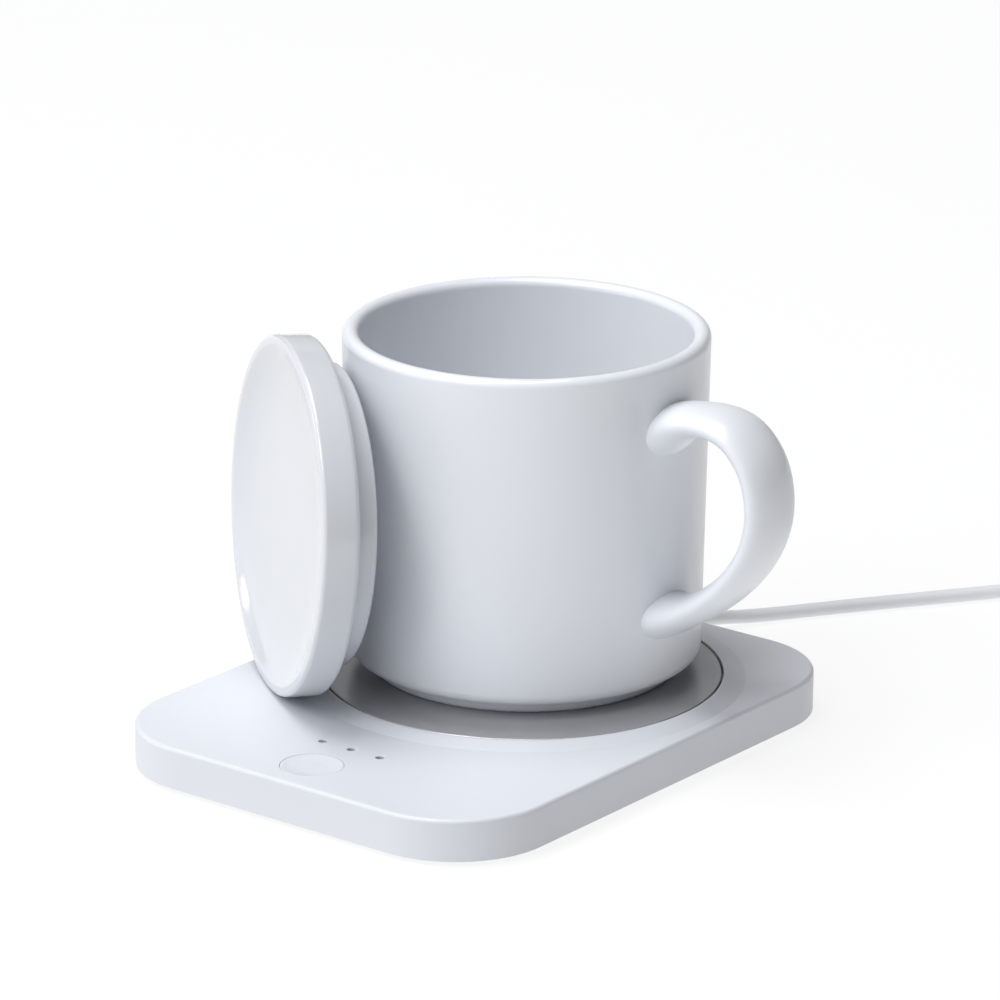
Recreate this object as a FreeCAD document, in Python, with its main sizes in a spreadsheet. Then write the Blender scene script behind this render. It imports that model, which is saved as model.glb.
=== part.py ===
import FreeCAD, Part
import Sketcher
import math
import os

# Electric mug warmer with its ceramic mug and lid.  Millimetres.
# Origin: centre of the base's outline, on the plane of its feet.  -Y is the
# front (button and lamps), +Y the rear (cord), +X the mug's handle, +Z up.

doc = FreeCAD.newDocument("MugWarmer")
sheet = doc.addObject("Spreadsheet::Sheet", "dims")

CELLS = [
    # base housing
    ("base_width", 110.4), ("base_depth", 144.2), ("base_corner", 23.8),
    ("base_under", 1.0), ("base_top", 10.7), ("edge_round", 0.9),
    ("wall", 2.0), ("roof", 1.8),
    ("plate_y", 16.5), ("boss_top", 11.8), ("boss_rim", 47.6), ("boss_foot", 52.0),
    ("plate_opening", 46.9),
    # heating stack
    ("plate_radius", 46.4), ("plate_top", 11.75), ("plate_flange", 49.5),
    ("flange_top", 9.9), ("flange_under", 8.9),
    ("gasket_top", 10.4), ("recess_radius", 49.9),
    ("heater_radius", 38.0), ("heater_under", 8.1),
    ("wool_radius", 39.5), ("wool_under", 6.1),
    ("clamp_radius", 46.5), ("clamp_under", 5.3), ("clamp_pitch", 43.2),
    # controls
    ("button_y", -60.4), ("button_opening", 7.3), ("button_radius", 7.2),
    ("button_travel", 0.5), ("button_dish", 0.55),
    ("lamp_y", -47.0), ("lamp_x", 0.5), ("lamp_pitch", 8.3), ("lamp_hole", 1.0),
    # bottom cover and its screws
    ("cover_gap", 0.2), ("floor_top", 2.6),
    ("foot_x", 38.0), ("foot_y", 58.0), ("foot_radius", 6.0), ("foot_top", 1.5),
    ("screw_x", 46.0), ("screw_back", 44.0), ("screw_front", -46.0),
    # control board
    ("board_under", 4.2), ("board_top", 5.2),
    ("board_x", 32.0), ("board_front", -68.0), ("board_back", -41.0),
    # mug
    ("mug_x", -3.66), ("mug_y", 21.94), ("mug_foot_radius", 35.98),
    ("mug_rest", 11.75), ("mug_wall_under", 15.0), ("mug_rim", 93.0),
    ("mug_low_radius", 41.2), ("mug_top_radius", 42.5),
    ("mug_bore_top", 38.57), ("mug_bore_low", 37.2), ("mug_inside", 18.0),
    ("handle_half_width", 8.45), ("handle_half_thick", 3.45),
    # lid
    ("lid_x", -38.01), ("lid_y", -27.10), ("lid_z", 52.77),
    ("lid_radius", 41.6), ("lid_thick", 8.8), ("lid_plug_radius", 35.18),
    ("lid_plug_depth", 5.68), ("lid_dish_depth", 3.6), ("lid_dish_radius", 39.2),
    # cord
    ("cord_radius", 1.7), ("gland_z", 5.2), ("gland_end", 84.0),
    ("coil_x", 78.3), ("coil_y", 162.4), ("coil_under", 0.6), ("coil_height", 6.9),
    ("coil_outer", 27.2), ("coil_inner", 12.9),
]


class Size:
    """A number together with the sheet formula that gives it."""

    def __init__(self, value, text):
        self.value = float(value)
        self.text = text

    @staticmethod
    def of(x):
        return x if isinstance(x, Size) else Size(x, "%.6g" % float(x))

    def _join(self, other, sign, value):
        return Size(value, "(%s %s %s)" % (self.text, sign, other.text))

    def __add__(self, o):
        o = Size.of(o)
        return self._join(o, "+", self.value + o.value)

    def __radd__(self, o):
        return Size.of(o) + self

    def __sub__(self, o):
        o = Size.of(o)
        return self._join(o, "-", self.value - o.value)

    def __rsub__(self, o):
        return Size.of(o) - self

    def __mul__(self, o):
        o = Size.of(o)
        return self._join(o, "*", self.value * o.value)

    def __rmul__(self, o):
        return Size.of(o) * self

    def __truediv__(self, o):
        o = Size.of(o)
        return self._join(o, "/", self.value / o.value)

    def __neg__(self):
        return Size(-self.value, "(0 - %s)" % self.text)


def q(name):
    return Size(dict(CELLS)[name], "dims." + name)


for row, (name, value) in enumerate(CELLS, start=1):
    sheet.set("A%d" % row, name)
    sheet.set("B%d" % row, "%.6g" % value)
    sheet.setAlias("B%d" % row, name)
doc.recompute()


def bind(obj, prop, size):
    size = Size.of(size)
    obj.setExpression(prop, size.text)


def put(obj, x=0, y=0, z=0, rot=None):
    xs = [Size.of(v) for v in (x, y, z)]
    place = FreeCAD.Placement(FreeCAD.Vector(*[s.value for s in xs]),
                              rot if rot is not None else FreeCAD.Rotation())
    obj.Placement = place
    for axis, s in zip("xyz", xs):
        if s.text.startswith("("  ) or s.text.startswith("dims"):
            obj.setExpression("Placement.Base.%s" % axis, s.text)
    return obj


UP = FreeCAD.Rotation()
ALONG_X = FreeCAD.Rotation(FreeCAD.Vector(0, 1, 0), 90)
ALONG_Y = FreeCAD.Rotation(FreeCAD.Vector(1, 0, 0), -90)
counter = [0]


def fresh(stem):
    counter[0] += 1
    return "%s%03d" % (stem, counter[0])


def cylinder(radius, height, x=0, y=0, z=0, rot=UP):
    o = doc.addObject("Part::Cylinder", fresh("Cyl"))
    bind(o, "Radius", radius)
    bind(o, "Height", height)
    return put(o, x, y, z, rot)


def cone(r1, r2, height, x=0, y=0, z=0, rot=UP):
    o = doc.addObject("Part::Cone", fresh("Cone"))
    bind(o, "Radius1", r1)
    bind(o, "Radius2", r2)
    bind(o, "Height", height)
    return put(o, x, y, z, rot)


def box(lx, ly, lz, x, y, z, rot=UP):
    """A box centred on x, y that stands on z."""
    o = doc.addObject("Part::Box", fresh("Box"))
    bind(o, "Length", lx)
    bind(o, "Width", ly)
    bind(o, "Height", lz)
    if rot is UP:
        return put(o, Size.of(x) - Size.of(lx) / 2, Size.of(y) - Size.of(ly) / 2, z)
    half = FreeCAD.Vector(Size.of(lx).value / 2, Size.of(ly).value / 2, 0)
    turned = rot.multVec(half)
    return put(o, Size.of(x) - turned.x, Size.of(y) - turned.y, Size.of(z) - turned.z, rot)


def ring(r_out, r_in, height, x=0, y=0, z=0, rot=UP):
    a = cylinder(r_out, height, x, y, z, rot)
    b = cylinder(r_in, Size.of(height) + 2, 0, 0, 0, rot)
    back = rot.multVec(FreeCAD.Vector(0, 0, 1))
    put(b, Size.of(x) - back.x, Size.of(y) - back.y, Size.of(z) - back.z, rot)
    return cut(a, b)


def cut(base, *tools):
    tool = tools[0] if len(tools) == 1 else fuse(*tools)
    o = doc.addObject("Part::Cut", fresh("Cut"))
    o.Base = base
    o.Tool = tool
    return o


def fuse(*parts):
    o = doc.addObject("Part::MultiFuse", fresh("Fuse"))
    o.Shapes = list(parts)
    return o


def group(*parts):
    o = doc.addObject("Part::Compound", fresh("Set"))
    o.Links = list(parts)
    return o


def round_edges(base, radius, pick):
    """Part::Fillet on the edges that pick(edge) accepts."""
    doc.recompute()
    o = doc.addObject("Part::Fillet", fresh("Round"))
    o.Base = base
    o.Edges = [(i + 1, radius, radius) for i, e in enumerate(base.Shape.Edges) if pick(e)]
    if not o.Edges:
        raise RuntimeError("no edge to round on " + base.Name)
    return o


def is_circle(e, radius, z=None, tol=0.02):
    c = e.Curve
    if not isinstance(c, Part.Circle) or abs(c.Radius - radius) > tol:
        return False
    return z is None or abs(c.Center.z - z) < tol


# ---------------------------------------------------------------- bodies
def body(label):
    b = doc.addObject("PartDesign::Body", "B_" + label)
    b.Label = label
    return b


def plane(b, role):
    for f in b.Origin.OriginFeatures:
        if f.Role == role:
            return f
    raise RuntimeError(role)


def sketch_on(b, name, role="XY_Plane", lift=None):
    s = b.newObject("Sketcher::SketchObject", fresh(name))
    s.AttachmentSupport = [(plane(b, role), "")]
    s.MapMode = "FlatFace"
    if lift is not None:
        bind(s, "AttachmentOffset.Base.z", lift)
    return s


def name_constraint(s, kind, args, size):
    size = Size.of(size)
    i = s.addConstraint(Sketcher.Constraint(kind, *args, size.value))
    if size.text.startswith("(") or size.text.startswith("dims"):
        label = "c%d" % i
        s.renameConstraint(i, label)
        s.setExpression("Constraints." + label, size.text)
    return i


def rectangle(s, width, depth, cx=0, cy=0):
    """A rectangle whose size and place are tied to the sheet."""
    w, d = Size.of(width), Size.of(depth)
    cx, cy = Size.of(cx), Size.of(cy)
    x0, x1 = cx.value - w.value / 2, cx.value + w.value / 2
    y0, y1 = cy.value - d.value / 2, cy.value + d.value / 2
    V = FreeCAD.Vector
    p = [V(x0, y0, 0), V(x1, y0, 0), V(x1, y1, 0), V(x0, y1, 0)]
    g = [s.addGeometry(Part.LineSegment(p[i], p[(i + 1) % 4]), False) for i in range(4)]
    for i in range(4):
        s.addConstraint(Sketcher.Constraint("Coincident", g[i], 2, g[(i + 1) % 4], 1))
    s.addConstraint(Sketcher.Constraint("Horizontal", g[0]))
    s.addConstraint(Sketcher.Constraint("Horizontal", g[2]))
    s.addConstraint(Sketcher.Constraint("Vertical", g[1]))
    s.addConstraint(Sketcher.Constraint("Vertical", g[3]))
    name_constraint(s, "DistanceX", (g[0], 1, g[0], 2), w)
    name_constraint(s, "DistanceY", (g[1], 1, g[1], 2), d)
    # one corner is dimensioned from the sketch's origin
    name_constraint(s, "DistanceX", (g[0], 1, -1, 1), -(cx - w / 2))
    name_constraint(s, "DistanceY", (g[0], 1, -1, 1), -(cy - d / 2))


def circles(s, spots, radius):
    for x, y in spots:
        x, y = Size.of(x), Size.of(y)
        r = Size.of(radius)
        g = s.addGeometry(Part.Circle(FreeCAD.Vector(x.value, y.value, 0),
                                      FreeCAD.Vector(0, 0, 1), r.value), False)
        name_constraint(s, "Radius", (g,), r)
        name_constraint(s, "DistanceX", (-1, 1, g, 3), x)
        name_constraint(s, "DistanceY", (-1, 1, g, 3), y)


def pad(b, s, length):
    f = b.newObject("PartDesign::Pad", fresh("Pad"))
    f.Profile = s
    bind(f, "Length", length)
    s.Visibility = False
    doc.recompute()
    return f


def pocket(b, s, length, upward=True):
    before = b.Shape.Volume
    f = b.newObject("PartDesign::Pocket", fresh("Pocket"))
    f.Profile = s
    bind(f, "Length", length)
    f.Reversed = bool(upward)
    doc.recompute()
    if b.Shape.Volume > before - 1e-4:
        raise RuntimeError("pocket %s cut nothing" % f.Name)
    return f


def soften(b, radius, pick):
    """PartDesign::Fillet on the edges that pick accepts."""
    base = b.Tip
    names = ["Edge%d" % (i + 1) for i, e in enumerate(base.Shape.Edges) if pick(e)]
    if not names:
        raise RuntimeError("no edge to soften on " + b.Label)
    f = b.newObject("PartDesign::Fillet", fresh("Fillet"))
    f.Base = (base, names)
    bind(f, "Radius", radius)
    doc.recompute()
    if "Invalid" in f.State or f.Shape.isNull() or not f.Shape.isValid():
        raise RuntimeError("fillet failed on " + b.Label)
    return f


def bevel(b, size, pick):
    base = b.Tip
    names = ["Edge%d" % (i + 1) for i, e in enumerate(base.Shape.Edges) if pick(e)]
    f = b.newObject("PartDesign::Chamfer", fresh("Chamfer"))
    f.Base = (base, names)
    bind(f, "Size", size)
    doc.recompute()
    return f


def turned(b, points, groove=False):
    """A closed profile of (radius, height) points turned about Z."""
    s = sketch_on(b, "Profile", "XZ_Plane")
    pts = [(Size.of(r), Size.of(z)) for r, z in points]
    n = len(pts)
    V = FreeCAD.Vector
    g = [s.addGeometry(Part.LineSegment(V(pts[i][0].value, pts[i][1].value, 0),
                                        V(pts[(i + 1) % n][0].value, pts[(i + 1) % n][1].value, 0)), False)
         for i in range(n)]
    for i in range(n):
        s.addConstraint(Sketcher.Constraint("Coincident", g[i], 2, g[(i + 1) % n], 1))
    for i in range(n):
        r, z = pts[i]
        name_constraint(s, "DistanceX", (-1, 1, g[i], 1), r)
        name_constraint(s, "DistanceY", (-1, 1, g[i], 1), z)
    before = b.Shape.Volume if b.Tip else 0.0
    f = b.newObject("PartDesign::Groove" if groove else "PartDesign::Revolution", fresh("Turn"))
    f.Profile = s
    f.ReferenceAxis = (s, ["V_Axis"])
    f.Angle = 360
    doc.recompute()
    if groove and b.Shape.Volume > before - 1e-4:
        raise RuntimeError("groove %s cut nothing" % f.Name)
    return f


def turned_at(b, points, x, y, groove=False):
    """Like turned, about an upright line through x, y of the body."""
    s = sketch_on(b, "Profile", "XZ_Plane", lift=-Size.of(y))
    x = Size.of(x)
    pts = [(Size.of(r) + x, Size.of(z)) for r, z in points]
    V = FreeCAD.Vector
    n = len(pts)
    g = [s.addGeometry(Part.LineSegment(V(pts[i][0].value, pts[i][1].value, 0),
                                        V(pts[(i + 1) % n][0].value, pts[(i + 1) % n][1].value, 0)), False)
         for i in range(n)]
    axis = s.addGeometry(Part.LineSegment(V(x.value, -5, 0), V(x.value, 5, 0)), True)
    for i in range(n):
        s.addConstraint(Sketcher.Constraint("Coincident", g[i], 2, g[(i + 1) % n], 1))
    for i in range(n):
        r, z = pts[i]
        name_constraint(s, "DistanceX", (-1, 1, g[i], 1), r)
        name_constraint(s, "DistanceY", (-1, 1, g[i], 1), z)
    s.addConstraint(Sketcher.Constraint("Vertical", axis))
    name_constraint(s, "DistanceX", (-1, 1, axis, 1), x)
    before = b.Shape.Volume if b.Tip else 0.0
    f = b.newObject("PartDesign::Groove" if groove else "PartDesign::Revolution", fresh("Turn"))
    f.Profile = s
    f.ReferenceAxis = (s, ["Axis0"])
    f.Angle = 360
    doc.recompute()
    if groove and b.Shape.Volume > before - 1e-4:
        raise RuntimeError("groove %s cut nothing" % f.Name)
    return f


def upright_edge(e, radius_from_corner=None):
    if len(e.Vertexes) != 2:
        return False
    a, c = e.Vertexes[0].Point, e.Vertexes[1].Point
    return abs(a.x - c.x) < 1e-3 and abs(a.y - c.y) < 1e-3 and abs(a.z - c.z) > 1e-3


NODES = []


def node(obj, label):
    obj.Label = label
    NODES.append(obj)
    return obj


W, D, R = q("base_width"), q("base_depth"), q("base_corner")
TOP, UNDER = q("base_top"), q("base_under")
PY = q("plate_y")
CEIL = TOP - q("roof")
quads = [(sx, sy) for sx in (-1, 1) for sy in (-1, 1)]
screw_spots = [(q("screw_x") * sx, q("screw_back") if sy > 0 else q("screw_front")) for sx, sy in quads]
foot_spots = [(q("foot_x") * sx, q("foot_y") * sy) for sx, sy in quads] + [(0.0, 0.0)]


def on_outline(e, z):
    """An edge of the base's outer outline at height z."""
    if abs(e.BoundBox.ZMax - z) > 1e-3 or abs(e.BoundBox.ZMin - z) > 1e-3:
        return False
    hx, hy, r = W.value / 2, D.value / 2, R.value
    for v in e.Vertexes:
        x, y = abs(v.Point.x), abs(v.Point.y)
        if abs(x - hx) < 0.01 and y <= hy - r + 0.01 or abs(y - hy) < 0.01 and x <= hx - r + 0.01:
            continue
        return False
    return len(e.Vertexes) == 2


# ---------------------------------------------------------------- top cover
cover = body("top_cover")
s = sketch_on(cover, "Outline", lift=UNDER)
rectangle(s, W, D)
pad(cover, s, TOP - UNDER)
# hollow inside, open below
s = sketch_on(cover, "Hollow", lift=UNDER)
rectangle(s, W - 2 * q("wall"), D - 2 * q("wall"))
pocket(cover, s, CEIL - UNDER)
soften(cover, R - q("wall"),
       lambda e: upright_edge(e) and abs(abs(e.Vertexes[0].Point.x) - (W.value / 2 - 2)) < 0.01)
soften(cover, R, lambda e: upright_edge(e) and abs(abs(e.Vertexes[0].Point.x) - W.value / 2) < 0.01)
# low round boss with a long gentle slope
turned_at(cover, [(30, 9.5), (30, q("boss_top")), (q("boss_rim"), q("boss_top")),
                  (q("boss_foot"), TOP), (q("boss_foot"), 9.5)], 0, PY)
soften(cover, q("edge_round"), lambda e: on_outline(e, TOP.value))
# stepped opening for the plate, seen from below
turned_at(cover, [(0, 8.0), (0, 13), (q("plate_opening"), 13), (q("plate_opening"), q("gasket_top")),
                  (q("recess_radius"), q("gasket_top")), (q("recess_radius"), 8.0)], 0, PY, groove=True)
# lamp holes and the button's opening, through the roof
s = sketch_on(cover, "Lamps", lift=8.0)
circles(s, [(q("lamp_x") + q("lamp_pitch") * i, q("lamp_y")) for i in (-1, 0, 1)], q("lamp_hole"))
pocket(cover, s, 4)
s = sketch_on(cover, "ButtonHole", lift=8.0)
circles(s, [(0, q("button_y"))], q("button_opening"))
pocket(cover, s, 4)
soften(cover, 0.25, lambda e: is_circle(e, 1.0, TOP.value))
soften(cover, 0.08, lambda e: is_circle(e, 7.3, TOP.value))
# screw posts under the roof, with pilot holes
s = sketch_on(cover, "Posts", lift=4.1)
circles(s, screw_spots, 3.2)
pad(cover, s, CEIL - 4.1 + 0.2)
s = sketch_on(cover, "Pilots", lift=4.0)
circles(s, screw_spots, 1.35)
pocket(cover, s, 4.2)
# round outlet for the cord's strain relief in the rear wall
s = sketch_on(cover, "Outlet", "XZ_Plane", lift=-(D / 2 - 4))
circles(s, [(0, q("gland_z"))], 3.6)
before = cover.Shape.Volume
f = cover.newObject("PartDesign::Pocket", "OutletCut")
f.Profile = s
f.Length = 8
doc.recompute()
if cover.Shape.Volume > before - 1:
    f.Reversed = not f.Reversed
    doc.recompute()
if cover.Shape.Volume > before - 1:
    raise RuntimeError("outlet not cut")
node(cover, "top_cover")

# ------------------------------------------------------------- bottom cover
low = body("bottom_cover")
s = sketch_on(low, "Outline", lift=UNDER)
inset = 2 * (q("wall") + q("cover_gap"))
rectangle(s, W - inset, D - inset)
pad(low, s, q("floor_top") - UNDER)
soften(low, R - q("wall") - q("cover_gap"), upright_edge)
s = sketch_on(low, "ScrewBosses", lift=UNDER)
circles(s, screw_spots, 3.8)
pad(low, s, 3.0)
s = sketch_on(low, "BoardPosts", lift=UNDER)
bx0, bx1 = -q("board_x") + 3.0, q("board_x") - 3.0
by0, by1 = q("board_front") + 3.2, q("board_back") - 3.2
board_spots = [(bx0, by0), (bx1, by0), (bx0, by1), (bx1, by1)]
circles(s, board_spots, 2.4)
pad(low, s, q("board_under") - UNDER)
s = sketch_on(low, "BoardHoles", lift=2.2)
circles(s, board_spots, 1.1)
pocket(low, s, 4)
s = sketch_on(low, "ScrewHoles", lift=0)
circles(s, screw_spots, 1.55)
pocket(low, s, 6)
s = sketch_on(low, "ScrewSinks", lift=0)
circles(s, screw_spots, 2.9)
pocket(low, s, 2.7)
s = sketch_on(low, "FootSinks", lift=0)
circles(s, foot_spots, q("foot_radius") + 0.15)
pocket(low, s, q("foot_top"))
node(low, "bottom_cover")

# --------------------------------------------------------------------- feet
feet = []
for x, y in foot_spots:
    pad_ = cylinder(q("foot_radius"), q("foot_top"), x, y, 0)
    feet.append(round_edges(pad_, 0.35, lambda e: is_circle(e, 6.0, 0.0)))
node(group(*feet), "rubber_feet")

# ------------------------------------------------------------ cover screws
screws = []
for x, y in screw_spots:
    screws.append(cut(fuse(cylinder(2.6, 1.4, x, y, 1.25), cylinder(1.2, 5.6, x, y, 2.4)),
                      box(3.0, 0.6, 0.7, x, y, 1.2), box(0.6, 3.0, 0.7, x, y, 1.2)))
node(group(*screws), "cover_screws")

# ----------------------------------------------------------- heating plate
hot = body("heating_plate")
turned(hot, [(0, q("flange_under")), (0, q("plate_top")), (q("plate_radius"), q("plate_top")),
             (q("plate_radius"), q("flange_top")), (q("plate_flange"), q("flange_top")),
             (q("plate_flange"), q("flange_under"))])
soften(hot, 0.35, lambda e: is_circle(e, 46.4, 11.75))
clamp_angles = (30, 150, 270)
clamp_spots = [(q("clamp_pitch") * math.cos(math.radians(a)), q("clamp_pitch") * math.sin(math.radians(a)))
               for a in clamp_angles]
s = sketch_on(hot, "Posts", lift=q("wool_under"))
circles(s, clamp_spots, 2.6)
pad(hot, s, q("flange_under") - q("wool_under") + 0.3)
s = sketch_on(hot, "PostHoles", lift=q("wool_under") - 0.1)
circles(s, clamp_spots, 1.3)
pocket(hot, s, 2.7)
put(hot, 0, PY, 0)
node(hot, "heating_plate")

node(ring(q("plate_flange") - 0.2, q("plate_opening") + 0.2, q("gasket_top") - q("flange_top"), 0, PY, q("flange_top")),
     "plate_gasket")
node(ring(q("heater_radius"), 3.2, q("flange_under") - q("heater_under"), 0, PY, q("heater_under")), "film_heater")
node(ring(q("wool_radius"), 3.2, q("heater_under") - q("wool_under"), 0, PY, q("wool_under")), "insulation_disc")

# clamp plate with three screw holes and lightening windows
clamp = body("clamp_plate")
s = sketch_on(clamp, "Disc", lift=q("clamp_under"))
circles(s, [(0, 0)], q("clamp_radius"))
pad(clamp, s, q("wool_under") - q("clamp_under"))
s = sketch_on(clamp, "Holes", lift=q("clamp_under") - 0.5)
circles(s, clamp_spots, 1.5)
pocket(clamp, s, 3)
s = sketch_on(clamp, "Centre", lift=q("clamp_under") - 0.5)
circles(s, [(0, 0)], 3.2)
pocket(clamp, s, 3)
s = sketch_on(clamp, "Windows", lift=q("clamp_under") - 0.5)
circles(s, [(22 * math.cos(math.radians(a)), 22 * math.sin(math.radians(a))) for a in (90, 210, 330)], 7.5)
pocket(clamp, s, 3)
put(clamp, 0, PY, 0)
node(clamp, "clamp_plate")

clamps = []
for x, y in clamp_spots:
    clamps.append(fuse(cylinder(2.3, 1.2, x, PY + y, q("clamp_under") - 1.2),
                       cylinder(1.15, 4.2, x, PY + y, q("clamp_under") - 1.2)))
node(group(*clamps), "clamp_screws")

# temperature sensor in the middle of the stack, and the thermal cut-off
node(fuse(cylinder(2.5, 2.4, 0, PY, 6.5), cylinder(0.35, 3.2, -1.0, PY, 3.4), cylinder(0.35, 3.2, 1.0, PY, 3.4)),
     "temperature_sensor")
node(fuse(cylinder(1.05, 9.0, -24.5, PY + 2, 4.15, ALONG_X), cylinder(0.35, 19.0, -29.5, PY + 2, 4.15, ALONG_X)),
     "thermal_cutoff")
node(ring(44.0, 4.0, 0.2, 0, PY, q("floor_top")), "heat_shield")

# ------------------------------------------------------------ control board
bw, bd = q("board_x") * 2, q("board_back") - q("board_front")
bcy = (q("board_front") + q("board_back")) / 2
board = body("control_board")
s = sketch_on(board, "Outline", lift=q("board_under"))
rectangle(s, bw, bd, 0, bcy)
pad(board, s, q("board_top") - q("board_under"))
s = sketch_on(board, "Holes", lift=q("board_under") - 0.5)
circles(s, board_spots, 1.2)
pocket(board, s, 3)
soften(board, 1.5, lambda e: upright_edge(e))
node(board, "control_board")
BT = q("board_top")
chips = [box(8.0, 5.0, 1.4, -17.0, -50.5, BT), box(6.2, 6.6, 2.2, 19.0, -60.0, BT),
         box(4.0, 4.0, 0.9, -18.5, -59.5, BT), cylinder(2.4, 2.9, 23.5, -51.0, BT),
         box(7.4, 4.4, 3.0, 17.5, -44.2, BT),
         box(2.0, 1.25, 0.5, -9.0, -56.5, BT), box(2.0, 1.25, 0.5, -9.0, -59.5, BT)]
node(group(*chips), "board_components")
bolts = []
for x, y in board_spots:
    bolts.append(fuse(cylinder(1.8, 1.2, x, y, BT), cylinder(0.95, 2.8, x, y, BT - 2.8)))
node(group(*bolts), "board_screws")
node(group(*[box(2.0, 1.25, 0.7, q("lamp_x") + q("lamp_pitch") * i, q("lamp_y"), BT) for i in (-1, 0, 1)]),
     "indicator_leds")
node(group(*[fuse(cylinder(0.9, 3.6, q("lamp_x") + q("lamp_pitch") * i, q("lamp_y"), 6.3),
                  cylinder(1.6, 0.7, q("lamp_x") + q("lamp_pitch") * i, q("lamp_y"), CEIL - 0.7))
             for i in (-1, 0, 1)]), "light_pipes")

# ------------------------------------------------- push button and its switch
node(cut(box(6.4, 6.4, 1.5, 0, q("button_y"), BT), cylinder(1.8, 1.4, 0, q("button_y"), BT + 0.3)), "tact_switch")
node(cylinder(1.5, 1.4, 0, q("button_y"), 6.1), "switch_plunger")
cap = body("button_cap")
RB = q("button_radius")
turned(cap, [(0, 8.6), (0, TOP - 0.55), (3.6, TOP - 0.48), (5.6, TOP - 0.26), (6.7, TOP - 0.03),
             (RB, TOP - 0.03), (RB, 8.6)])
turned(cap, [(0, 8.0), (0, 8.8), (8.3, 8.8), (8.3, 8.0)])
s = sketch_on(cap, "Stem", lift=7.5)
circles(s, [(0, 0)], 1.6)
pad(cap, s, 0.7)
soften(cap, 0.08, lambda e: is_circle(e, 7.2, TOP.value - 0.03))
put(cap, 0, q("button_y"), 0)
node(cap, "button_cap")

# --------------------------------------------------------- cord and its ends
GZ = q("gland_z")
back = D / 2
gland = fuse(box(9.0, 1.5, 5.9, 0, back - q("wall") - 0.75, 2.8),
             cylinder(3.3, q("wall") + 0.4, 0, back - q("wall") - 0.2, GZ, ALONG_Y),
             cone(3.3, 2.15, q("gland_end") - back - 0.2, 0, back + 0.2, GZ, ALONG_Y))
grooves = [ring(4.5, 2.35 + 0.22 * (3 - i), 0.7, 0, 75.2 + 2.2 * i, GZ, ALONG_Y) for i in range(4)]
node(cut(gland, *grooves), "strain_relief")
node(cylinder(1.7, 5.0, 0, back - q("wall") - 6.5, GZ - 0.9, ALONG_Y), "inner_cord_end")


def wire_solid(points, radius):
    """A tube along straight runs joined by tangent arcs, as large as they fit."""
    V = FreeCAD.Vector
    p = [V(*a) for a in points]
    edges, radii, start, length = [], [], p[0], 0.0
    for a, b, c in zip(p, p[1:], p[2:]):
        u, w = (b - a).normalize(), (c - b).normalize()
        turn = math.acos(max(-1, min(1, u.dot(w))))
        setback = 0.45 * min((b - a).Length, (c - b).Length)
        r = setback / math.tan(turn / 2)
        radii.append((round(r, 1), round(math.degrees(turn), 1)))
        t1, t2 = b - u * setback, b + w * setback
        mid_dir = (w - u).normalize()
        centre = b + mid_dir * (r / math.cos(turn / 2))
        middle = centre - mid_dir * r
        edges += [Part.LineSegment(start, t1).toShape(), Part.Arc(t1, middle, t2).toShape()]
        length += (t1 - start).Length + r * turn
        start = t2
    edges.append(Part.LineSegment(start, p[-1]).toShape())
    length += (p[-1] - start).Length
    path = Part.Wire(edges)
    face_wire = Part.Wire(Part.makeCircle(radius, p[0], (p[1] - p[0])))
    tube = path.makePipeShell([face_wire], True, False)
    ideal = math.pi * radius * radius * length
    print("tube radii and turns", radii, "length", round(length, 1), "volume ratio", round(tube.Volume / ideal, 5))
    if abs(tube.Volume / ideal - 1) > 0.01:
        raise RuntimeError("tube volume is off")
    return tube


GE, CR = q("gland_end").value, q("cord_radius").value
lead_route = [(0, GE, GZ.value), (0.4, 93.5, 3.2), (4.6, 103.6, 1.75), (15.9, 120.8, 1.75),
              (32.0, 143.7, 1.75), (52.6, 170.3, 2.3)]
tail_route = [(98.2, 180.1, 5.7), (108.4, 174.9, 4.0), (117.4, 168.2, 4.0)]
lead = doc.addObject("Part::Feature", "Lead")
lead.Shape = wire_solid(lead_route, CR)
lead.Placement = FreeCAD.Placement()
node(lead, "cord_lead")
coil_raw = ring(q("coil_outer"), q("coil_inner"), q("coil_height"), q("coil_x"), q("coil_y"), q("coil_under"))
coil = round_edges(coil_raw, 1.6, lambda e: is_circle(e, 27.2) or is_circle(e, 12.9))
node(coil, "cord_coil")
tail = doc.addObject("Part::Feature", "Tail")
tail.Shape = wire_solid(tail_route, CR)
tail.Placement = FreeCAD.Placement()
node(tail, "cord_tail")
# soft tie round the coil
tie_turn = FreeCAD.Rotation(FreeCAD.Vector(0, 0, 1), -60)
tie_mid = tie_turn.multVec(FreeCAD.Vector(20.05, 0, 0))


def band(lx, ly, lz, z, radius):
    """A rounded bar across the coil, its long edges along the turns."""
    o = doc.addObject("Part::Box", fresh("Band"))
    o.Length, o.Width, o.Height = lx, ly, lz
    half = tie_turn.multVec(FreeCAD.Vector(lx / 2, ly / 2, 0))
    put(o, q("coil_x") + (tie_mid.x - half.x), q("coil_y") + (tie_mid.y - half.y), z, tie_turn)
    return round_edges(o, radius, lambda e: abs(e.Length - ly) < 0.01)


node(cut(band(15.8, 8.0, 8.1, 0.0, 2.4), band(14.8, 8.2, 7.1, 0.5, 1.9)), "cord_tie")

# plug: moulded grip, metal shell, insulating tongue, four contacts
u = (FreeCAD.Vector(*tail_route[-1]) - FreeCAD.Vector(*tail_route[-2]))
u.z = 0
u.normalize()
plug_turn = FreeCAD.Rotation(FreeCAD.Vector(0, 0, 1), math.degrees(math.atan2(u.y, u.x)))
end = FreeCAD.Vector(*tail_route[-1])


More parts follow.
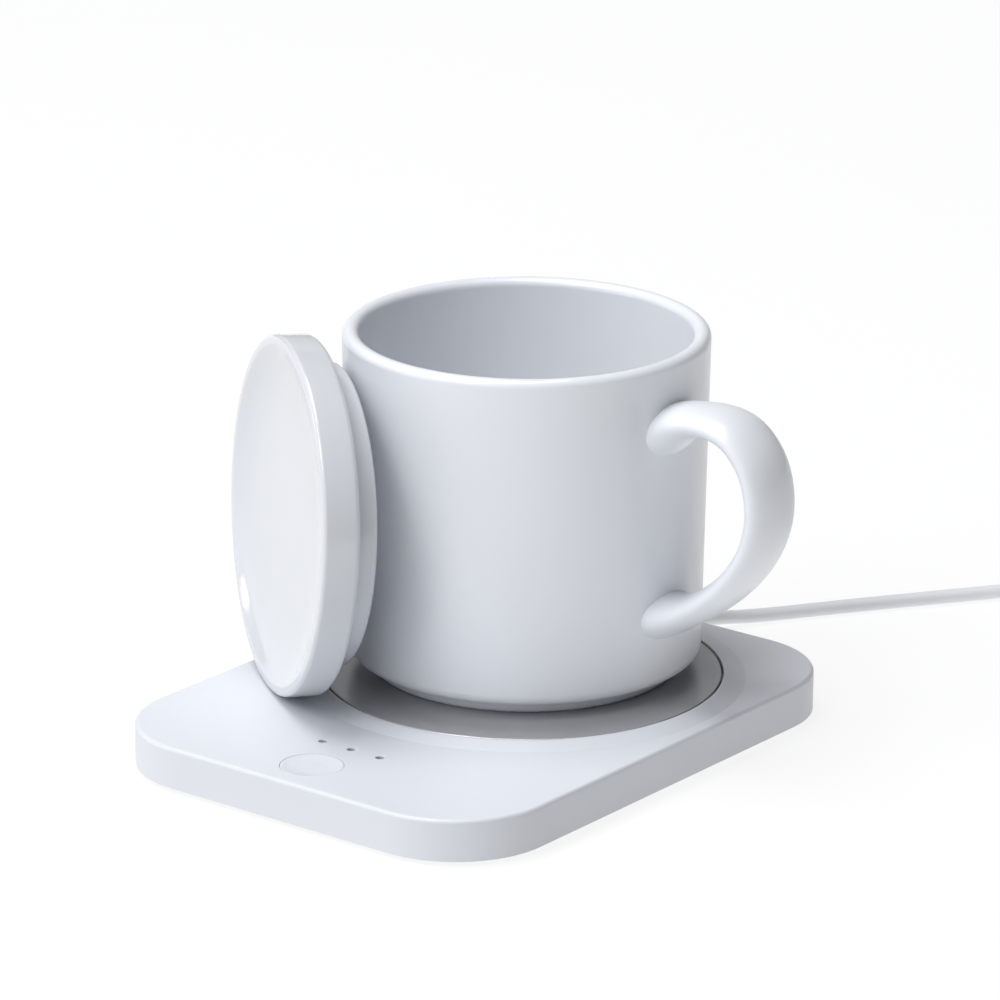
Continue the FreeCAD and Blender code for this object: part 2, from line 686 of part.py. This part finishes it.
def plug_box(lx, ly, lz, ahead, z, side=0.0):
    o = doc.addObject("Part::Box", fresh("Plug"))
    o.Length, o.Width, o.Height = lx, ly, lz
    base = end + plug_turn.multVec(FreeCAD.Vector(ahead, side - ly / 2, 0))
    o.Placement = FreeCAD.Placement(FreeCAD.Vector(base.x, base.y, z), plug_turn)
    return o


grip_raw = plug_box(24.0, 15.0, 8.0, 0, 0.0)
grip = round_edges(grip_raw, 1.8, lambda e: e.Length > 23.5)
node(grip, "plug_grip")
shell = cut(plug_box(14.0, 12.0, 4.5, 24.0, 1.75), plug_box(15.0, 11.2, 3.7, 24.0, 2.15),
            plug_box(2.2, 2.4, 3.0, 30.0, 4.0, 2.9), plug_box(2.2, 2.4, 3.0, 30.0, 4.0, -2.9))
node(shell, "plug_shell")
node(plug_box(12.6, 11.1, 1.8, 24.0, 4.0), "plug_tongue")
node(group(*[plug_box(7.0, 1.0, 0.25, 29.0, 3.75, sy) for sy in (-3.5, -1.0, 1.0, 3.5)]), "plug_contacts")

# wires inside the base: board to sensor, cut-off, heater and cord
WZ = 3.45
wires = []
for sx in (-1, 1):
    wires.append(wire_solid([(sx * 0.8, 63.3, 4.2), (sx * 4.2, 56.0, WZ), (sx * 16.0, 50.0, WZ), (sx * 36.0, 33.5, WZ),
                             (sx * 47.0, 10.0, WZ), (sx * 45.5, -16.0, WZ), (sx * 36.0, -35.5, WZ),
                             (sx * 22.5, -43.0, WZ)], 0.6))
wires.append(wire_solid([(-30.2, 18.5, 4.15), (-35.0, 7.0, WZ), (-31.0, -12.0, WZ), (-16.0, -42.5, WZ)], 0.6))
wires.append(wire_solid([(2.2, 13.0, WZ), (7.0, 0.0, WZ), (8.0, -18.0, WZ), (12.0, -42.5, WZ)], 0.6))
leads = doc.addObject("Part::Feature", "InnerLeads")
leads.Shape = Part.makeCompound(wires)
leads.Placement = FreeCAD.Placement()
node(leads, "internal_leads")

# --------------------------------------------------------------------- mug
mug = body("mug_turned")
Z0 = q("mug_rest")
RIM = q("mug_rim")
turned(mug, [(0, Z0 + 1.6), (0, q("mug_inside")), (q("mug_bore_low"), q("mug_inside")),
             (q("mug_bore_top"), RIM), (q("mug_top_radius"), RIM),
             (q("mug_low_radius"), q("mug_wall_under")), (q("mug_foot_radius"), q("mug_wall_under")),
             (q("mug_foot_radius"), Z0), (q("mug_foot_radius") - 4.0, Z0), (q("mug_foot_radius") - 5.2, Z0 + 1.6)])
soften(mug, 1.9, lambda e: is_circle(e, 42.5, 93.0) or is_circle(e, 38.57, 93.0))
soften(mug, 5.0, lambda e: is_circle(e, 37.2, 18.0))
soften(mug, 2.4, lambda e: is_circle(e, 41.2, 15.0))
soften(mug, 0.8, lambda e: is_circle(e, 35.98, 11.75) or is_circle(e, 31.98, 11.75))
put(mug, q("mug_x"), q("mug_y"), 0)

# handle: elliptical sections along a C-shaped line in the plane y = mug_y
STATIONS = [(39.7, 76.6, 6.4, 9.3), (43.6, 78.3, 5.0, 8.9), (47.6, 80.1, 3.95, 8.6), (53.2, 81.0, 3.5, 8.45),
            (57.8, 80.6, 3.45, 8.45), (61.6, 79.0, 3.45, 8.45), (64.7, 76.3, 3.45, 8.45), (67.0, 73.0, 3.45, 8.45),
            (68.5, 69.1, 3.45, 8.45), (69.2, 64.9, 3.45, 8.45), (69.1, 60.5, 3.45, 8.45), (68.1, 56.0, 3.45, 8.45),
            (66.1, 51.4, 3.45, 8.45), (62.9, 46.6, 3.45, 8.45), (58.5, 41.9, 3.45, 8.45), (52.6, 37.3, 3.5, 8.45),
            (47.4, 34.2, 3.85, 8.6), (43.2, 32.6, 4.8, 8.9), (39.2, 32.0, 6.0, 9.3)]
rings = []
n = len(STATIONS)
for i, (r, z, a, b) in enumerate(STATIONS):
    r0, z0 = STATIONS[max(i - 1, 0)][:2]
    r1, z1 = STATIONS[min(i + 1, n - 1)][:2]
    if i == 0 or i == n - 1:
        tx, tz = (1.0, 0.0) if i == 0 else (-1.0, 0.0)
    else:
        k = math.hypot(r1 - r0, z1 - z0)
        tx, tz = (r1 - r0) / k, (z1 - z0) / k
    m = FreeCAD.Matrix(0, -tz, tx, 0, 1, 0, 0, 0, 0, tx, tz, 0, 0, 0, 0, 1)
    e = doc.addObject("Part::Ellipse", fresh("Section"))
    e.MajorRadius, e.MinorRadius = b, a
    if abs(a - 3.45) < 1e-6:
        bind(e, "MinorRadius", q("handle_half_thick"))
    if abs(b - 8.45) < 1e-6:
        bind(e, "MajorRadius", q("handle_half_width"))
    put(e, q("mug_x") + r, q("mug_y"), z, FreeCAD.Placement(m).Rotation)
    rings.append(e)
handle = doc.addObject("Part::Loft", "Handle")
handle.Sections = rings
handle.Solid = True
handle.Ruled = False
doc.recompute()
node(fuse(mug, handle), "mug")

# --------------------------------------------------------------------- lid
lid = body("lid")
LR, LT, LP = q("lid_radius"), q("lid_thick"), q("lid_plug_radius")
LD = q("lid_plug_depth")
# local +Z is the face; the plug stands on the other side
turned(lid, [(0, -q("lid_dish_depth")), (32.0, 1.0 - q("lid_dish_depth")), (q("lid_dish_radius"), 0), (LR, 0),
             (LR, -LT), (LP, -LT), (LP, -LT - LD), (LP - 4.5, -LT - LD), (LP - 5.0, -LT + 1.2), (0, -LT + 2.4)])
soften(lid, 1.0, lambda e: is_circle(e, 41.6, 0.0))
soften(lid, 1.6, lambda e: is_circle(e, 41.6, -8.8))
soften(lid, 1.4, lambda e: is_circle(e, 35.18, -14.48))
soften(lid, 8.0, lambda e: is_circle(e, 32.0, -2.6))
soften(lid, 1.5, lambda e: is_circle(e, 39.2, 0.0))
az, tilt = math.radians(234.5), math.radians(3.371)
normal = FreeCAD.Vector(math.cos(tilt) * math.cos(az), math.cos(tilt) * math.sin(az), math.sin(tilt))
lid_rot = FreeCAD.Rotation(FreeCAD.Vector(0, 0, 1), math.degrees(az)) * \
    FreeCAD.Rotation(FreeCAD.Vector(0, 1, 0), 90 - math.degrees(tilt))
put(lid, q("lid_x"), q("lid_y"), q("lid_z"), lid_rot)
node(lid, "lid")

# ------------------------------------------------------------------- export
doc.recompute()
bad = [o.Name for o in doc.Objects if "Invalid" in o.State or "Error" in o.State]
if bad:
    raise RuntimeError("failed objects: %s" % bad)
os.makedirs("parts", exist_ok=True)
for obj in NODES:
    shape = obj.Shape
    if shape.isNull() or not shape.isValid():
        raise RuntimeError("bad shape: " + obj.Label)
    for solid in shape.Solids:
        if solid.Volume <= 0:
            raise RuntimeError("inside out: " + obj.Label)
    shape.exportStep("parts/%s.step" % obj.Label)
    bb = shape.optimalBoundingBox(False, False)
    print("%-20s %d solid(s) %9.1f mm3  x %.2f..%.2f  y %.2f..%.2f  z %.2f..%.2f" % (
        obj.Label, len(shape.Solids), shape.Volume, bb.XMin, bb.XMax, bb.YMin, bb.YMax, bb.ZMin, bb.ZMax))
print("normal of the lid's face", normal)
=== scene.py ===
import bmesh
import bpy
import math
from mathutils import Matrix, Vector


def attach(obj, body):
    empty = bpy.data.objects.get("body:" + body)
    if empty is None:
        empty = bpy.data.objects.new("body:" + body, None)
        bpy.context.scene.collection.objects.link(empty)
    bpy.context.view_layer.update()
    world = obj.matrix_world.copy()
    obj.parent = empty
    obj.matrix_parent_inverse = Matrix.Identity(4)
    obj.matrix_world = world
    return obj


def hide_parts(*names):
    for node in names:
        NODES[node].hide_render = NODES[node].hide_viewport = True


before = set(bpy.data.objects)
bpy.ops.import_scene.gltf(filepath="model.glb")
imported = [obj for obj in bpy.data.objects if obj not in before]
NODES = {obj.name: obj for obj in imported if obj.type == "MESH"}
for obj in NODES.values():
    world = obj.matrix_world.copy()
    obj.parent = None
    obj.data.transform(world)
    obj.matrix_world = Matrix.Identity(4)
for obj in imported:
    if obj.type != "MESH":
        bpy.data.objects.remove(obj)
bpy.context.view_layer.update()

scene = bpy.context.scene


# ------------------------------------------------------------------ camera
def place_camera():
    yaw, pitch, roll = math.radians(-37.833), math.radians(18.493), math.radians(0.349)
    f = Vector((math.sin(yaw) * math.cos(pitch), math.cos(yaw) * math.cos(pitch), -math.sin(pitch)))
    r = Vector((math.cos(yaw), -math.sin(yaw), 0.0))
    u = r.cross(f)
    right = math.cos(roll) * r + math.sin(roll) * u
    up = -math.sin(roll) * r + math.cos(roll) * u
    target = Vector((-0.017446, 0.030083, 0.046))
    eye = target - f * 1.455095
    data = bpy.data.cameras.new("camera")
    data.sensor_fit = "HORIZONTAL"
    data.sensor_width = 36.0
    data.lens = 36.0 * 6209.572 / 1000.0
    data.clip_start = 0.05
    data.clip_end = 50.0
    cam = bpy.data.objects.new("camera", data)
    m = Matrix.Identity(4)
    for i in range(3):
        m[i][0], m[i][1], m[i][2], m[i][3] = right[i], up[i], -f[i], eye[i]
    cam.matrix_world = m
    scene.collection.objects.link(cam)
    scene.camera = cam
    return cam


camera = place_camera()


# --------------------------------------------------------------- materials
class Surface:
    """A procedural material: colour drift, roughness drift and bump, by object place."""

    def __init__(self, name, colour, roughness, **sockets):
        self.m = bpy.data.materials.new(name)
        self.m.use_nodes = True
        self.nt = self.m.node_tree
        self.bsdf = next(n for n in self.nt.nodes if n.type == "BSDF_PRINCIPLED")
        self.bsdf.inputs["Base Color"].default_value = (*colour, 1.0)
        self.bsdf.inputs["Roughness"].default_value = roughness
        for key, value in sockets.items():
            self.bsdf.inputs[key.replace("_", " ")].default_value = value
        self.colour, self.roughness = colour, roughness
        self.coord = self.nt.nodes.new("ShaderNodeTexCoord")
        self.height = None

    def noise(self, scale, detail=2.0, rough=0.5, stretch=(1, 1, 1)):
        n = self.nt.nodes.new("ShaderNodeTexNoise")
        n.inputs["Scale"].default_value = scale
        n.inputs["Detail"].default_value = detail
        n.inputs["Roughness"].default_value = rough
        v = self.nt.nodes.new("ShaderNodeMapping")
        v.inputs["Scale"].default_value = stretch
        self.nt.links.new(self.coord.outputs["Object"], v.inputs["Vector"])
        self.nt.links.new(v.outputs["Vector"], n.inputs["Vector"])
        return n.outputs["Fac"]

    def spread(self, source, low, high, a=0.35, b=0.65):
        r = self.nt.nodes.new("ShaderNodeMapRange")
        r.inputs["From Min"].default_value = a
        r.inputs["From Max"].default_value = b
        r.inputs["To Min"].default_value = low
        r.inputs["To Max"].default_value = high
        self.nt.links.new(source, r.inputs["Value"])
        return r.outputs["Result"]

    def tint(self, source, other, amount=1.0):
        """Drifts the colour towards another one where source is high."""
        mix = self.nt.nodes.new("ShaderNodeMix")
        mix.data_type = "RGBA"
        mix.inputs["A"].default_value = (*self.colour, 1.0)
        mix.inputs["B"].default_value = (*other, 1.0)
        self.nt.links.new(self.spread(source, 0.0, amount), mix.inputs["Factor"])
        self.nt.links.new(mix.outputs["Result"], self.bsdf.inputs["Base Color"])
        return self

    def polish(self, source, low, high):
        self.nt.links.new(self.spread(source, low, high), self.bsdf.inputs["Roughness"])
        return self

    def bump(self, source, distance, strength=1.0):
        b = self.nt.nodes.new("ShaderNodeBump")
        b.inputs["Distance"].default_value = distance
        b.inputs["Strength"].default_value = strength
        self.nt.links.new(source, b.inputs["Height"])
        if self.height is not None:
            self.nt.links.new(self.height, b.inputs["Normal"])
        self.height = b.outputs["Normal"]
        self.nt.links.new(self.height, self.bsdf.inputs["Normal"])
        return self


def plastic(name, colour, other, roughness, grain, depth, coat=0.0, **more):
    s = Surface(name, colour, roughness, **more)
    if coat:
        s.bsdf.inputs["Coat Weight"].default_value = coat
        s.bsdf.inputs["Coat Roughness"].default_value = 0.2
    s.tint(s.noise(45, 3), other, 0.6)
    s.polish(s.noise(160, 2), roughness - 0.04, roughness + 0.05)
    s.bump(s.noise(grain, 2), depth)
    return s.m


def metal(name, colour, other, roughness, stretch, scale, depth):
    s = Surface(name, colour, roughness, Metallic=1.0)
    s.tint(s.noise(60, 3), other, 0.7)
    s.polish(s.noise(scale, 3, 0.6, stretch), roughness - 0.05, roughness + 0.08)
    s.bump(s.noise(scale, 3, 0.6, stretch), depth)
    return s.m


def glaze(name, colour, other, roughness, coat, wave, depth):
    s = Surface(name, colour, roughness, Specular_IOR_Level=0.5)
    s.bsdf.inputs["Coat Weight"].default_value = coat
    s.bsdf.inputs["Coat Roughness"].default_value = 0.08
    s.bsdf.inputs["Subsurface Weight"].default_value = 0.0
    s.tint(s.noise(28, 3), other, 0.5)
    s.polish(s.noise(90, 2), roughness - 0.03, roughness + 0.04)
    s.bump(s.noise(wave, 1), depth)
    s.bump(s.noise(1900, 2), depth * 0.02)
    return s.m


WHITE = (0.705, 0.725, 0.770)
mat = {}
mat["housing"] = plastic("housing_plastic", WHITE, (0.69, 0.71, 0.755), 0.36, 2600, 0.00001)
mat["underside"] = plastic("underside_plastic", (0.74, 0.75, 0.77), (0.70, 0.71, 0.73), 0.55, 1700, 0.00003)
mat["button"] = plastic("button_plastic", WHITE, (0.69, 0.71, 0.755), 0.34, 2600, 0.00001)
mat["rubber"] = plastic("soft_rubber", (0.075, 0.077, 0.08), (0.09, 0.09, 0.095), 0.72, 1500, 0.00004)
mat["tie"] = plastic("tie_rubber", (0.60, 0.61, 0.63), (0.56, 0.57, 0.59), 0.60, 1500, 0.00004)
mat["screw_steel"] = metal("screw_steel", (0.58, 0.58, 0.59), (0.50, 0.50, 0.51), 0.30, (1, 1, 6), 900, 0.00001)
mat["gasket"] = plastic("gasket_rubber", (0.04, 0.04, 0.042), (0.05, 0.05, 0.052), 0.75, 1400, 0.00004)
mat["heater"] = plastic("heater_film", (0.55, 0.24, 0.05), (0.45, 0.17, 0.03), 0.35, 700, 0.00002)
mat["wool"] = plastic("mineral_felt", (0.72, 0.70, 0.62), (0.58, 0.56, 0.50), 0.95, 900, 0.0003)
mat["inner_steel"] = metal("inner_steel", (0.60, 0.60, 0.61), (0.53, 0.53, 0.54), 0.38, (1, 12, 1), 500, 0.00001)
mat["foil"] = metal("shield_foil", (0.78, 0.78, 0.79), (0.70, 0.70, 0.71), 0.25, (1, 1, 1), 260, 0.00012)
mat["sensor"] = plastic("sensor_bead", (0.03, 0.03, 0.033), (0.05, 0.05, 0.052), 0.45, 1200, 0.00003)
mat["board"] = plastic("board_laminate", (0.02, 0.14, 0.06), (0.03, 0.20, 0.08), 0.42, 1200, 0.00002)
mat["chips"] = plastic("chip_moulding", (0.025, 0.025, 0.027), (0.04, 0.04, 0.042), 0.62, 1900, 0.00002)
mat["lamp"] = plastic("lamp_lens", (0.78, 0.78, 0.70), (0.70, 0.70, 0.62), 0.20, 900, 0.00001)
mat["light_pipe"] = plastic("light_pipe_smoked", (0.022, 0.022, 0.025), (0.032, 0.032, 0.036), 0.30, 1500, 0.00001)
mat["switch"] = plastic("switch_body", (0.03, 0.03, 0.03), (0.045, 0.045, 0.045), 0.50, 1500, 0.00002)
mat["cord"] = plastic("cord_jacket", (0.79, 0.80, 0.83), (0.76, 0.77, 0.80), 0.46, 1300, 0.00004)
mat["wire"] = plastic("wire_jacket", (0.50, 0.045, 0.03), (0.42, 0.03, 0.02), 0.42, 1500, 0.00002)
mat["plug_metal"] = metal("plug_steel", (0.72, 0.72, 0.73), (0.64, 0.64, 0.65), 0.26, (8, 1, 1), 600, 0.00001)
mat["contact"] = metal("contact_gold", (0.83, 0.60, 0.24), (0.76, 0.53, 0.20), 0.28, (6, 1, 1), 900, 0.00001)
mat["tongue"] = plastic("tongue_plastic", (0.72, 0.72, 0.73), (0.66, 0.66, 0.67), 0.48, 1500, 0.00002)
mat["mug"] = glaze("mug_glaze", (0.80, 0.822, 0.865), (0.793, 0.815, 0.858), 0.33, 0.25, 60, 0.0001)
# lid glaze is the mug glaze made darker: painted shade that dims the lid's face, which faces the lamps more than
# the mug does
mat["lid"] = glaze("lid_glaze", (0.655, 0.675, 0.713), (0.645, 0.664, 0.70), 0.12, 0.25, 45, 0.0001)

# hot plate: fine turned lines, round the plate's own centre
plate = Surface("plate_anodised", (0.45, 0.452, 0.47), 0.20, Metallic=0.45)
sep = plate.nt.nodes.new("ShaderNodeMapping")
sep.inputs["Location"].default_value = (0.0, -0.0165, 0.0)
plate.nt.links.new(plate.coord.outputs["Object"], sep.inputs["Vector"])
rings = plate.nt.nodes.new("ShaderNodeTexWave")
rings.wave_type, rings.rings_direction = "RINGS", "Z"
rings.inputs["Scale"].default_value = 900
rings.inputs["Distortion"].default_value = 0.6
rings.inputs["Detail"].default_value = 2
plate.nt.links.new(sep.outputs["Vector"], rings.inputs["Vector"])
plate.tint(plate.noise(70, 3), (0.43, 0.432, 0.45), 0.8)
plate.polish(plate.noise(300, 3), 0.18, 0.27)
plate.bump(rings.outputs["Fac"], 0.000004)
plate.bump(plate.noise(1500, 2), 0.000006)
mat["plate"] = plate.m

FINISH = {
    "top_cover": "housing", "bottom_cover": "underside", "rubber_feet": "rubber", "cover_screws": "screw_steel",
    "heating_plate": "plate", "plate_gasket": "gasket", "film_heater": "heater", "insulation_disc": "wool",
    "clamp_plate": "inner_steel", "clamp_screws": "screw_steel", "temperature_sensor": "sensor",
    "thermal_cutoff": "sensor", "heat_shield": "foil", "control_board": "board", "board_components": "chips",
    "board_screws": "screw_steel", "indicator_leds": "lamp", "light_pipes": "light_pipe", "tact_switch": "switch",
    "switch_plunger": "switch", "button_cap": "button", "strain_relief": "cord", "inner_cord_end": "cord",
    "cord_lead": "cord", "cord_coil": "cord", "cord_tail": "cord", "cord_tie": "tie", "plug_grip": "cord",
    "plug_shell": "plug_metal", "plug_tongue": "tongue", "plug_contacts": "contact", "internal_leads": "wire",
    "mug": "mug", "lid": "lid",
}
for name, obj in NODES.items():
    obj.data.materials.clear()
    obj.data.materials.append(mat[FINISH[name]])
    for p in obj.data.polygons:
        p.material_index = 0


# -------------------------------------------------------------------- cord
LEAD = [(0.0, 0.0840, 0.0052), (0.0004, 0.0935, 0.0032), (0.0046, 0.1036, 0.00175), (0.0159, 0.1208, 0.00175),
        (0.0320, 0.1437, 0.00175), (0.0526, 0.1703, 0.0023)]
TAIL = [(0.0982, 0.1801, 0.0057), (0.1084, 0.1749, 0.0040), (0.1174, 0.1682, 0.0040)]
COIL = (0.0783, 0.1624)


def coil_points():
    """Eight turns: four side by side going in, then four on top going out."""
    per_turn, out = 14, []
    start, total = 142.0, 8.0 + (142.0 - 60.0) / 360.0
    count = int(round(total * per_turn))
    for i in range(count + 1):
        turn = total * i / count
        angle = math.radians(start - 360.0 * turn)
        if turn <= 3.6:
            radius = 0.0252 - 0.0034 * max(0.0, turn - 0.25)
            z = 0.00235
        elif turn <= 4.4:
            k = (turn - 3.6) / 0.8
            radius = 0.0252 - 0.0034 * 3.35
            z = 0.00235 + 0.0034 * (3 * k * k - 2 * k ** 3)
        else:
            radius = 0.0252 - 0.0034 * 3.35 + 0.0034 * min(turn - 4.4, 3.38)
            z = 0.00575
        radius += 0.00022 * math.sin(2.3 * turn * math.pi + 0.6) * (0.3 if turn > total - 1 else 1.0)
        out.append((COIL[0] + radius * math.cos(angle), COIL[1] + radius * math.sin(angle), z))
    return out


def make_cord():
    points = LEAD + coil_points() + TAIL
    curve = bpy.data.curves.new("power_cord", "CURVE")
    curve.dimensions = "3D"
    curve.bevel_depth = 0.0017
    curve.bevel_resolution = 6
    curve.resolution_u = 6
    curve.use_fill_caps = True
    spline = curve.splines.new("NURBS")
    spline.points.add(len(points) - 1)
    for p, co in zip(spline.points, points):
        p.co = (*co, 1.0)
    spline.order_u = 3
    spline.use_endpoint_u = True
    cord = bpy.data.objects.new("power_cord", curve)
    scene.collection.objects.link(cord)
    curve.materials.append(mat["cord"])
    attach(cord, "base")
    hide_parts("cord_lead", "cord_coil", "cord_tail")
    return cord


cord = make_cord()


# --------------------------------------------------------------------- lid
def rounded(corners, steps=10):
    """Profile points (r, s) with the corners that carry a radius rounded off."""
    out = []
    n = len(corners)
    for i, (r, s, rad) in enumerate(corners):
        b = Vector((r, s))
        if not rad or i in (0, n - 1):
            out.append(b)
            continue
        a, c = Vector(corners[i - 1][:2]), Vector(corners[i + 1][:2])
        u, w = (a - b).normalized(), (c - b).normalized()
        half = u.angle(w) / 2
        centre = b + (u + w).normalized() * (rad / math.sin(half))
        d1 = b + u * (rad / math.tan(half)) - centre
        d2 = b + w * (rad / math.tan(half)) - centre
        sweep = d1.angle(d2)
        for k in range(steps + 1):
            t = k / steps
            out.append(centre + (math.sin((1 - t) * sweep) * d1 + math.sin(t * sweep) * d2) / math.sin(sweep))
    return out


def make_lid():
    """The lid as one turned skin with a dish that curves all the way in."""
    dish = []
    for k in range(33):
        r = 38.2 * k / 32
        dish.append(Vector((r, -3.45 + 3.0 * (r / 38.2) ** 6.0)))
    lip = rounded([(38.2, -0.45, 0), (39.35, 0.0, 0.9), (41.6, 0.0, 1.0), (41.6, -8.8, 1.5), (35.18, -8.8, 0.5),
                   (35.18, -14.48, 1.3), (30.68, -14.48, 0.9), (30.18, -7.6, 0.8), (0.0, -6.4, 0)])
    line = dish + lip[1:]
    fine = [line[0]]
    for p in line[1:]:
        start, gap = fine[-1].copy(), (p - fine[-1]).length
        if gap < 1e-4:
            continue
        pieces = max(1, int(gap // 2.0))
        fine += [start.lerp(p, (k + 1) / pieces) for k in range(pieces)]
    az, tilt = math.radians(234.5), math.radians(3.371)
    turn = Matrix.Rotation(az, 3, "Z") @ Matrix.Rotation(math.pi / 2 - tilt, 3, "Y")
    centre = Vector((-0.03801, -0.02710, 0.05277))
    segments = 240
    verts, faces, rows = [], [], []
    for p in fine:
        r, s = p.x / 1000, p.y / 1000
        ring = []
        for i in range(1 if r < 1e-6 else segments):
            a = 2 * math.pi * i / segments
            ring.append(len(verts))
            verts.append(centre + turn @ Vector((r * math.cos(a), r * math.sin(a), s)))
        rows.append(ring)
    for lo, hi in zip(rows, rows[1:]):
        for i in range(segments):
            j = (i + 1) % segments
            if len(lo) == 1:
                faces.append((lo[0], hi[i], hi[j]))
            elif len(hi) == 1:
                faces.append((lo[j], lo[i], hi[0]))
            else:
                faces.append((lo[i], hi[i], hi[j], lo[j]))
    me = bpy.data.meshes.new("lid_skin")
    me.from_pydata([tuple(v) for v in verts], [], faces)
    me.update()
    bm = bmesh.new()
    bm.from_mesh(me)
    bmesh.ops.recalc_face_normals(bm, faces=bm.faces)
    bm.to_mesh(me)
    bm.free()
    me.polygons.foreach_set("use_smooth", [True] * len(me.polygons))
    me.materials.append(mat["lid"])
    obj = bpy.data.objects.new("lid_skin", me)
    scene.collection.objects.link(obj)
    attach(obj, "lid")
    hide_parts("lid")
    return obj


lid = make_lid()


# ------------------------------------------------------------------- floor
stage_mat = Surface("studio_floor", (0.17, 0.17, 0.172), 0.9)
stage_mat.bsdf.inputs["Emission Color"].default_value = (1.0, 1.0, 1.0, 1.0)
stage_mat.bsdf.inputs["Emission Strength"].default_value = 0.80
stage_mat.tint(stage_mat.noise(3, 2), (0.165, 0.165, 0.167), 0.5)
stage_mat.bump(stage_mat.noise(500, 2), 0.00002)
floor_mesh = bpy.data.meshes.new("studio_floor")
floor_mesh.from_pydata([(-6, -6, 0), (6, -6, 0), (6, 6, 0), (-6, 6, 0)], [], [(0, 1, 2, 3)])
floor_mesh.materials.append(stage_mat.m)
floor = bpy.data.objects.new("studio_floor", floor_mesh)
floor.location.z = -0.0001
scene.collection.objects.link(floor)


# ------------------------------------------------------------------- light
def area(name, place, aim, size, power, colour=(1, 1, 1), size_y=None):
    data = bpy.data.lights.new(name, "AREA")
    data.energy = power
    data.color = colour
    data.shape = "RECTANGLE"
    data.size = size
    data.size_y = size_y or size
    o = bpy.data.objects.new(name, data)
    o.location = place
    o.rotation_euler = (Vector(aim) - Vector(place)).to_track_quat("-Z", "Y").to_euler()
    scene.collection.objects.link(o)
    return o


world = bpy.data.worlds.new("studio")
world.use_nodes = True
wt = world.node_tree
back = wt.nodes["Background"]
back.inputs["Color"].default_value = (0.96, 0.98, 1.0, 1.0)
where = wt.nodes.new("ShaderNodeTexCoord")
dot = wt.nodes.new("ShaderNodeVectorMath")
dot.operation = "DOT_PRODUCT"
dot.inputs[1].default_value = Vector((-0.27, -0.77, 0.57)).normalized()
wt.links.new(where.outputs["Generated"], dot.inputs[0])
soft = wt.nodes.new("ShaderNodeMapRange")
soft.interpolation_type = "SMOOTHSTEP"
soft.inputs["From Min"].default_value = 0.15
soft.inputs["From Max"].default_value = 0.95
soft.inputs["To Min"].default_value = 0.05
soft.inputs["To Max"].default_value = 0.76
wt.links.new(dot.outputs["Value"], soft.inputs["Value"])
wt.links.new(soft.outputs["Result"], back.inputs["Strength"])
scene.world = world
scene.view_settings.view_transform = "Standard"

area("key", (-0.22, -1.07, 1.16), (0, 0, 0.03), 0.7, 7.0)
area("top", (-0.32, -0.16, 1.78), (0, 0.02, 0.03), 1.1, 21.0)
area("back", (-1.05, 1.35, 0.62), (0, 0.02, 0.03), 1.7, 2.0, (1, 1, 1), 1.0)
area("side", (-1.40, -0.40, 0.20), (0, 0, 0.06), 0.16, 0.8, (1, 1, 1), 0.30)
